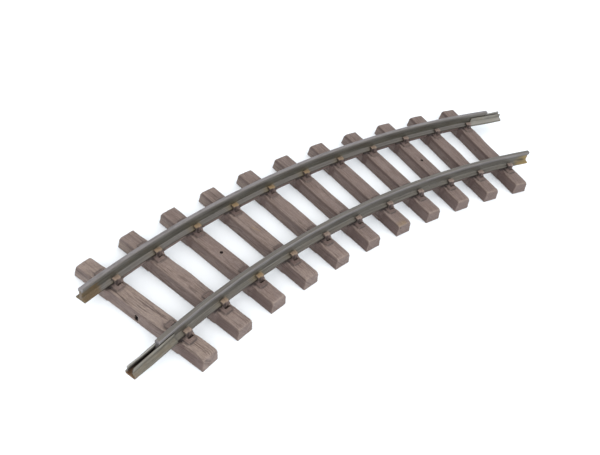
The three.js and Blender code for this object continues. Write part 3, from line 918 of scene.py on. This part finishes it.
# The sheet's middle line from the floor's middle to a lip's top, relative to the rail's base, and its bends.
JOINER_LINE = [(0.0, -0.45), (3.6, -0.45), (3.6, 1.05), (1.2, 2.0), (1.2, 5.1)]
JOINER_BENDS = (0.0, 0.75, 0.7, 0.7, 0.0)
# At the free end: how much narrower the floor is on its near and its far side, how far the far lip leans out,
# and how far the near lip is cut back.
NEAR_PINCH = 0.35
FAR_PINCH = 1.1
FAR_LEAN = 0.6
NEAR_CUT = 0.9
# How far apart neighbouring points of the outline are in the patina's pattern.
PATINA_STEP = 0.35


def open_rounded(points, radii):
    """An open line with rounded bends."""
    closed = rounded([*points, (points[-1][0] + 50, points[-1][1] + 50)], [*radii, 0.0])
    return closed[:-1]


def joiner_outline():
    """The sheet's outline, half its thickness either way from its middle line, and its inside's points."""
    half = open_rounded(JOINER_LINE, JOINER_BENDS)
    line = np.concatenate([half[::-1], half[1:] * (-1, 1)])
    tangent = np.gradient(line, axis=0)
    tangent /= np.linalg.norm(tangent, axis=1)[:, None]
    normal = np.stack([-tangent[:, 1], tangent[:, 0]], 1) * JOINER_SHEET / 2
    outline = np.concatenate([line + normal, (line - normal)[::-1]])
    inward = np.concatenate([np.zeros(len(line)), np.ones(len(line))])
    return outline, inward


def joiner_section(x, start, side, outline, noise):
    """The outline at one place of a joiner: its lips wavy and worn at both ends, and the free end bent."""
    end = start + JOINER_LENGTH
    to_end = min(x - start, end - x)
    from_free = end - x if side > 0 else x - start
    worn = 0.7 * (1 - math.sqrt(max(0.0, 1 - max(0.0, 1 - to_end / 0.9) ** 2)))
    section = np.column_stack([np.full(len(outline), x), outline])
    lip = ramp(section[:, 2], 3.6, 5.1)
    hand = np.sign(section[:, 1])
    far = hand > 0
    waves = 0.12 * (0.5 + 0.5 * noise(x / 6.0, hand * 3.3))
    section[:, 2] -= lip * (np.where(far, 0.2, 0.5) * worn + waves)
    section[:, 1] += hand * lip * 0.1 * noise(x / 9.0, hand * 7.7)
    pinch = np.where(far, FAR_PINCH, NEAR_PINCH) * ramp(from_free, 12.0, 1.0)
    low = ramp(section[:, 2], 2.2, 0.8)
    section[:, 1] -= hand * pinch * low * ramp(np.abs(section[:, 1]), 1.6, 3.0)
    section[:, 1] += far * FAR_LEAN * ramp(from_free, 13.0, 0.0) * ramp(section[:, 2], 1.0, 4.6)
    section[:, 0] += side * -NEAR_CUT * ~far * ramp(section[:, 2], 0.2, 3.6) * ramp(from_free, 3.0, 0.0)
    return section


def joiner_rust(at, noise):
    """Rust on the floor inside near the free end, and low round that end."""
    inside = at.inner * ramp(at.z, 1.6, 0.4) * ramp(at.from_free, 9, 2)
    low_end = ramp(at.from_free + 1.5 * noise(at.x / 2, at.p), 3.2, 0.8) * ramp(at.z, 2.2, 0.6)
    return np.clip(inside + 0.5 * low_end, 0, 1)


def joiner_painted_shade(at):
    """Painted shade inside, most of it away from the free end and between the lips."""
    between_lips = ramp(np.abs(at.y), 1.9, 1.3) * ramp(at.z, 4.6, 4.1) * ramp(at.z, 1.6, 2.2)
    inside = 0.25 + 0.75 * ramp(at.from_free, 1.5, 6.0) * ramp(at.z, 4.8, 4.2)
    return np.clip(at.inner * np.maximum(between_lips, inside), 0, 1)


def joiner_bare_and_highlight(at, side):
    """Pale lip edges, bare metal with a painted highlight, and on the outer rail's joiner a brighter bend and
    lip.
    """
    bare = np.where(at.y > 0, ramp(at.z, 4.4, 4.8), 0.25 * ramp(at.z, 4.6, 5.0) * (1 - at.inner))
    if side > 0:
        bend = ramp(at.z, 0.9, 1.3) * ramp(at.z, 2.6, 2.0)
        bare = np.maximum(bare, (1 - at.inner) * np.maximum(0.5 * bend, 0.15 * ramp(at.z, 1.9, 2.4)))
    return bare


def joiner(side_name):
    side = SIDES[side_name]
    radius = CURVE_RADIUS + side * HALF_SPACING
    overlap = JOINER_LENGTH - JOINER_REACH[side_name]
    angle = side * (HALF_ANGLE - (EXPANSION_GAP + overlap / 2) / radius)
    start = -overlap / 2 if side > 0 else overlap / 2 - JOINER_LENGTH
    outline, inward = joiner_outline()
    stations = np.linspace(start, start + JOINER_LENGTH, math.ceil(JOINER_LENGTH / JOINER_STEP) + 1)
    noise = Noise(500 + side)
    vertices, faces = lofted([joiner_section(x, start, side, outline, noise) for x in stations])
    mesh = new_mesh(f"{side_name}_joiner", vertices, faces)
    x, y, z = vertices.T
    free_end = start + JOINER_LENGTH if side > 0 else start
    at = SimpleNamespace(
        x=x, y=y, z=z, p=np.tile(np.arange(len(outline)) * PATINA_STEP, len(stations)),
        inner=np.tile(inward, len(stations)), from_free=np.abs(x - free_end))
    store(mesh, "rust", joiner_rust(at, noise))
    store(mesh, "soot", joiner_painted_shade(at))
    store(mesh, "head", joiner_bare_and_highlight(at, side))
    store(mesh, "place", np.stack([x + 33 * side, at.p, np.full_like(x, 90.0 * side)], 1))
    mesh.transform(placed(radius, angle, RAIL_BASE) @ Matrix.Scale(MM, 4))
    return show(f"{side_name}_joiner_folded", cleaned(mesh), JOINER, f"{side_name}_joiner_sleeve",
                [f"{side_name}_joiner"])


for name in SIDES:
    joiner(name)

# ---------------- screws

SCREW_TURN_STEPS = 40
SCREW_STAND = 2.1
SCREW_TIP = RAIL_BASE + 1.0 - SCREW_STAND
SCREW_HEAD_HEIGHT = 1.3
SCREW_SLOT_HALF = 0.26
SCREW_SLOT_DEPTH = 0.62
SCREW_BEVEL = 0.05
THREAD_PITCH = 0.45
THREAD_ROOT = 0.56
THREAD_CREST = 0.65
# Radius and height up the screw, from the middle of the head's face to the shank.
SCREW_HEAD_LINE = [
    (0.0, 0.0), (0.9, 0.03), (1.35, 0.14), (1.62, 0.32), (1.76, 0.56), (1.8, 0.85), (1.78, 1.2),
    (1.7, SCREW_HEAD_HEIGHT), (0.72, SCREW_HEAD_HEIGHT),
]


def screw_line():
    """Radius and height of the whole screw's outline: the head, the thread's turns and a point."""
    line = list(SCREW_HEAD_LINE)
    z = SCREW_HEAD_HEIGHT
    while z < SCREW_TIP - 0.7:
        line += [(THREAD_ROOT, z + 0.12), (THREAD_CREST, z + 0.22), (THREAD_ROOT, z + 0.33)]
        z += THREAD_PITCH
    return line + [(0.4, SCREW_TIP - 0.35), (0.2, SCREW_TIP), (0.0, SCREW_TIP)]


def turned(name, line):
    """A mesh turned from an outline round the Z axis."""
    work = bmesh.new()
    profile = [work.verts.new((r, 0, h)) for r, h in line]
    edges = [work.edges.new(pair) for pair in zip(profile, profile[1:])]
    bmesh.ops.spin(work, geom=profile + edges, axis=(0, 0, 1), cent=(0, 0, 0), steps=SCREW_TURN_STEPS,
                   angle=2 * math.pi, use_merge=True)
    bmesh.ops.remove_doubles(work, verts=work.verts, dist=1e-4)
    bmesh.ops.recalc_face_normals(work, faces=work.faces)
    return mesh_from(work, name)


def slotted(name, mesh):
    """The turned screw with a slot cut across its head and its sharp edges bevelled."""
    work = bmesh.new()
    bmesh.ops.create_cube(work, size=1.0, matrix=Matrix.Translation((0, 0, SCREW_SLOT_DEPTH - 1))
                          @ Matrix.Diagonal((6, 2 * SCREW_SLOT_HALF, 2, 1)))
    blank = add_object("screw_blank", mesh)
    cutter = add_object("slot_cutter", mesh_from(work, "slot_cutter"))
    boolean = blank.modifiers.new("slot", "BOOLEAN")
    boolean.operation = "DIFFERENCE"
    boolean.solver = "EXACT"
    boolean.object = cutter
    bevel = blank.modifiers.new("edges", "BEVEL")
    bevel.width = SCREW_BEVEL
    bevel.segments = 2
    bevel.limit_method = "ANGLE"
    bevel.angle_limit = math.radians(50)
    bpy.context.view_layer.update()
    final = bpy.data.meshes.new_from_object(blank.evaluated_get(bpy.context.evaluated_depsgraph_get()))
    for obj in (blank, cutter):
        bpy.data.objects.remove(obj)
    final.name = name
    return final


def screw(side_name, end_name, end):
    node = f"{side_name}_rail_screw_{end_name}"
    radius = CURVE_RADIUS + SIDES[side_name] * HALF_SPACING
    angle = end * (SLEEPER_COUNT - 1) / 2 * SLEEPER_PITCH
    mesh = slotted(node, turned(node, screw_line()))
    x, y, z = mesh_arrays(mesh)[0].T
    store(mesh, "place", np.stack([np.hypot(x, y), np.arctan2(y, x) * 2, z], 1))
    mesh.polygons.foreach_set("use_smooth", [len(f.vertices) == 4 for f in mesh.polygons])
    # No two screws stop with their slots at the same angle.
    turn = Matrix.Rotation(math.radians(37) * (end + 2 * SIDES[side_name]), 4, "Z")
    mesh.transform(placed(radius, angle, SCREW_STAND) @ turn @ Matrix.Scale(MM, 4))
    return show(node + "_turned", mesh, STEEL, "track", [node])


for name in SIDES:
    for end_name, end in (("left", -1), ("right", 1)):
        screw(name, end_name, end)

# ---------------- floor and light, in metres

FLOOR_SIZE = 6.0
# Just low enough not to lie in one plane with the undersides.
FLOOR_DROP = 0.00005
SKY_LOW = (0.87, 0.965, 1.06, 1.0)
SKY_HIGH = (1.04, 1.0, 0.97, 1.0)
SKY_STRENGTH = 1.4


def lay_floor():
    work = bmesh.new()
    bmesh.ops.create_grid(work, x_segments=8, y_segments=8, size=FLOOR_SIZE / 2)
    mesh = mesh_from(work, "floor")
    mesh.materials.append(PAPER)
    floor = add_object("floor", mesh)
    floor.location.z = -FLOOR_DROP


def soft_light(name, azimuth, elevation, distance, size, power, colour, target):
    """A square soft light aimed at a point. Azimuth 0 is in front, at -Y, and 90 at +X."""
    data = bpy.data.lights.new(name, "AREA")
    data.shape = "SQUARE"
    data.size = size
    data.energy = power
    data.color = colour
    a, e = math.radians(azimuth), math.radians(elevation)
    direction = Vector((math.sin(a) * math.cos(e), -math.cos(a) * math.cos(e), math.sin(e)))
    obj = add_object(name, data)
    obj.location = Vector(target) + direction * distance
    obj.visible_camera = False
    obj.rotation_mode = "QUATERNION"
    obj.rotation_quaternion = direction.to_track_quat("Z", "Y")


def light_sky():
    """Soft light from everywhere, bluer from below and warmer from above."""
    world = bpy.data.worlds.new("studio")
    world.use_nodes = True
    nodes, links = world.node_tree.nodes, world.node_tree.links
    split = nodes.new("ShaderNodeSeparateXYZ")
    links.new(nodes.new("ShaderNodeTexCoord").outputs["Generated"], split.inputs["Vector"])
    height = nodes.new("ShaderNodeMapRange")
    links.new(split.outputs["Z"], height.inputs["Value"])
    tint = nodes.new("ShaderNodeMix")
    tint.data_type = "RGBA"
    low, high, result = colour_sockets(tint)
    links.new(height.outputs["Result"], tint.inputs["Factor"])
    low.default_value = SKY_LOW
    high.default_value = SKY_HIGH
    links.new(result, nodes["Background"].inputs["Color"])
    nodes["Background"].inputs["Strength"].default_value = SKY_STRENGTH
    bpy.context.scene.world = world


lay_floor()
soft_light("front", azimuth=12, elevation=38, distance=1.6, size=1.2, power=9.0, colour=(1.0, 0.99, 0.98),
           target=(0, 0, 0))
soft_light("left", azimuth=-50, elevation=30, distance=0.36, size=0.3, power=0.6, colour=(1.0, 1.0, 1.0),
           target=(-0.15, -0.03, 0.01))
light_sky()
bpy.context.scene.view_settings.view_transform = "Standard"
bpy.context.scene.view_settings.look = "None"

# ---------------- camera

# The camera stands where the photograph was taken from: its focal length in pixels of a 600 pixel wide frame,
# its distance from the point that it looks at, and its turn about its own axis.
FRAME_WIDTH, FRAME_HEIGHT = 600, 455
SENSOR_WIDTH = 36.0
FOCAL_PIXELS = 730.22
OPTICAL_CENTRE = (299.6, 232.7)
CAMERA_DISTANCE = 427.38
CAMERA_AZIMUTH = math.radians(-49.838)
CAMERA_ELEVATION = math.radians(42.77)
CAMERA_ROLL = math.radians(13.348)
LOOK_AT = (CENTRE_X - 29.171, CENTRE_Y + 589.003, 0.0)


def camera_axes():
    """The camera's own right, up and backward directions."""
    back = Vector((math.sin(CAMERA_AZIMUTH) * math.cos(CAMERA_ELEVATION),
                   -math.cos(CAMERA_AZIMUTH) * math.cos(CAMERA_ELEVATION), math.sin(CAMERA_ELEVATION)))
    level = Vector((0, 0, 1)).cross(back).normalized()
    upright = back.cross(level)
    right = math.cos(CAMERA_ROLL) * level + math.sin(CAMERA_ROLL) * upright
    up = -math.sin(CAMERA_ROLL) * level + math.cos(CAMERA_ROLL) * upright
    return right, up, back


def place_camera():
    data = bpy.data.cameras.new("camera")
    data.sensor_width = SENSOR_WIDTH
    data.lens = FOCAL_PIXELS / FRAME_WIDTH * SENSOR_WIDTH
    data.shift_x = (FRAME_WIDTH / 2 - OPTICAL_CENTRE[0]) / FRAME_WIDTH
    data.shift_y = (OPTICAL_CENTRE[1] - FRAME_HEIGHT / 2) / FRAME_WIDTH
    data.clip_start = 0.01
    data.clip_end = 20.0
    camera = add_object("camera", data)
    axes = camera_axes()
    place = Matrix.Translation((Vector(LOOK_AT) + axes[2] * CAMERA_DISTANCE) * MM)
    camera.matrix_world = place @ Matrix(axes).transposed().to_4x4()
    bpy.context.scene.camera = camera


place_camera()
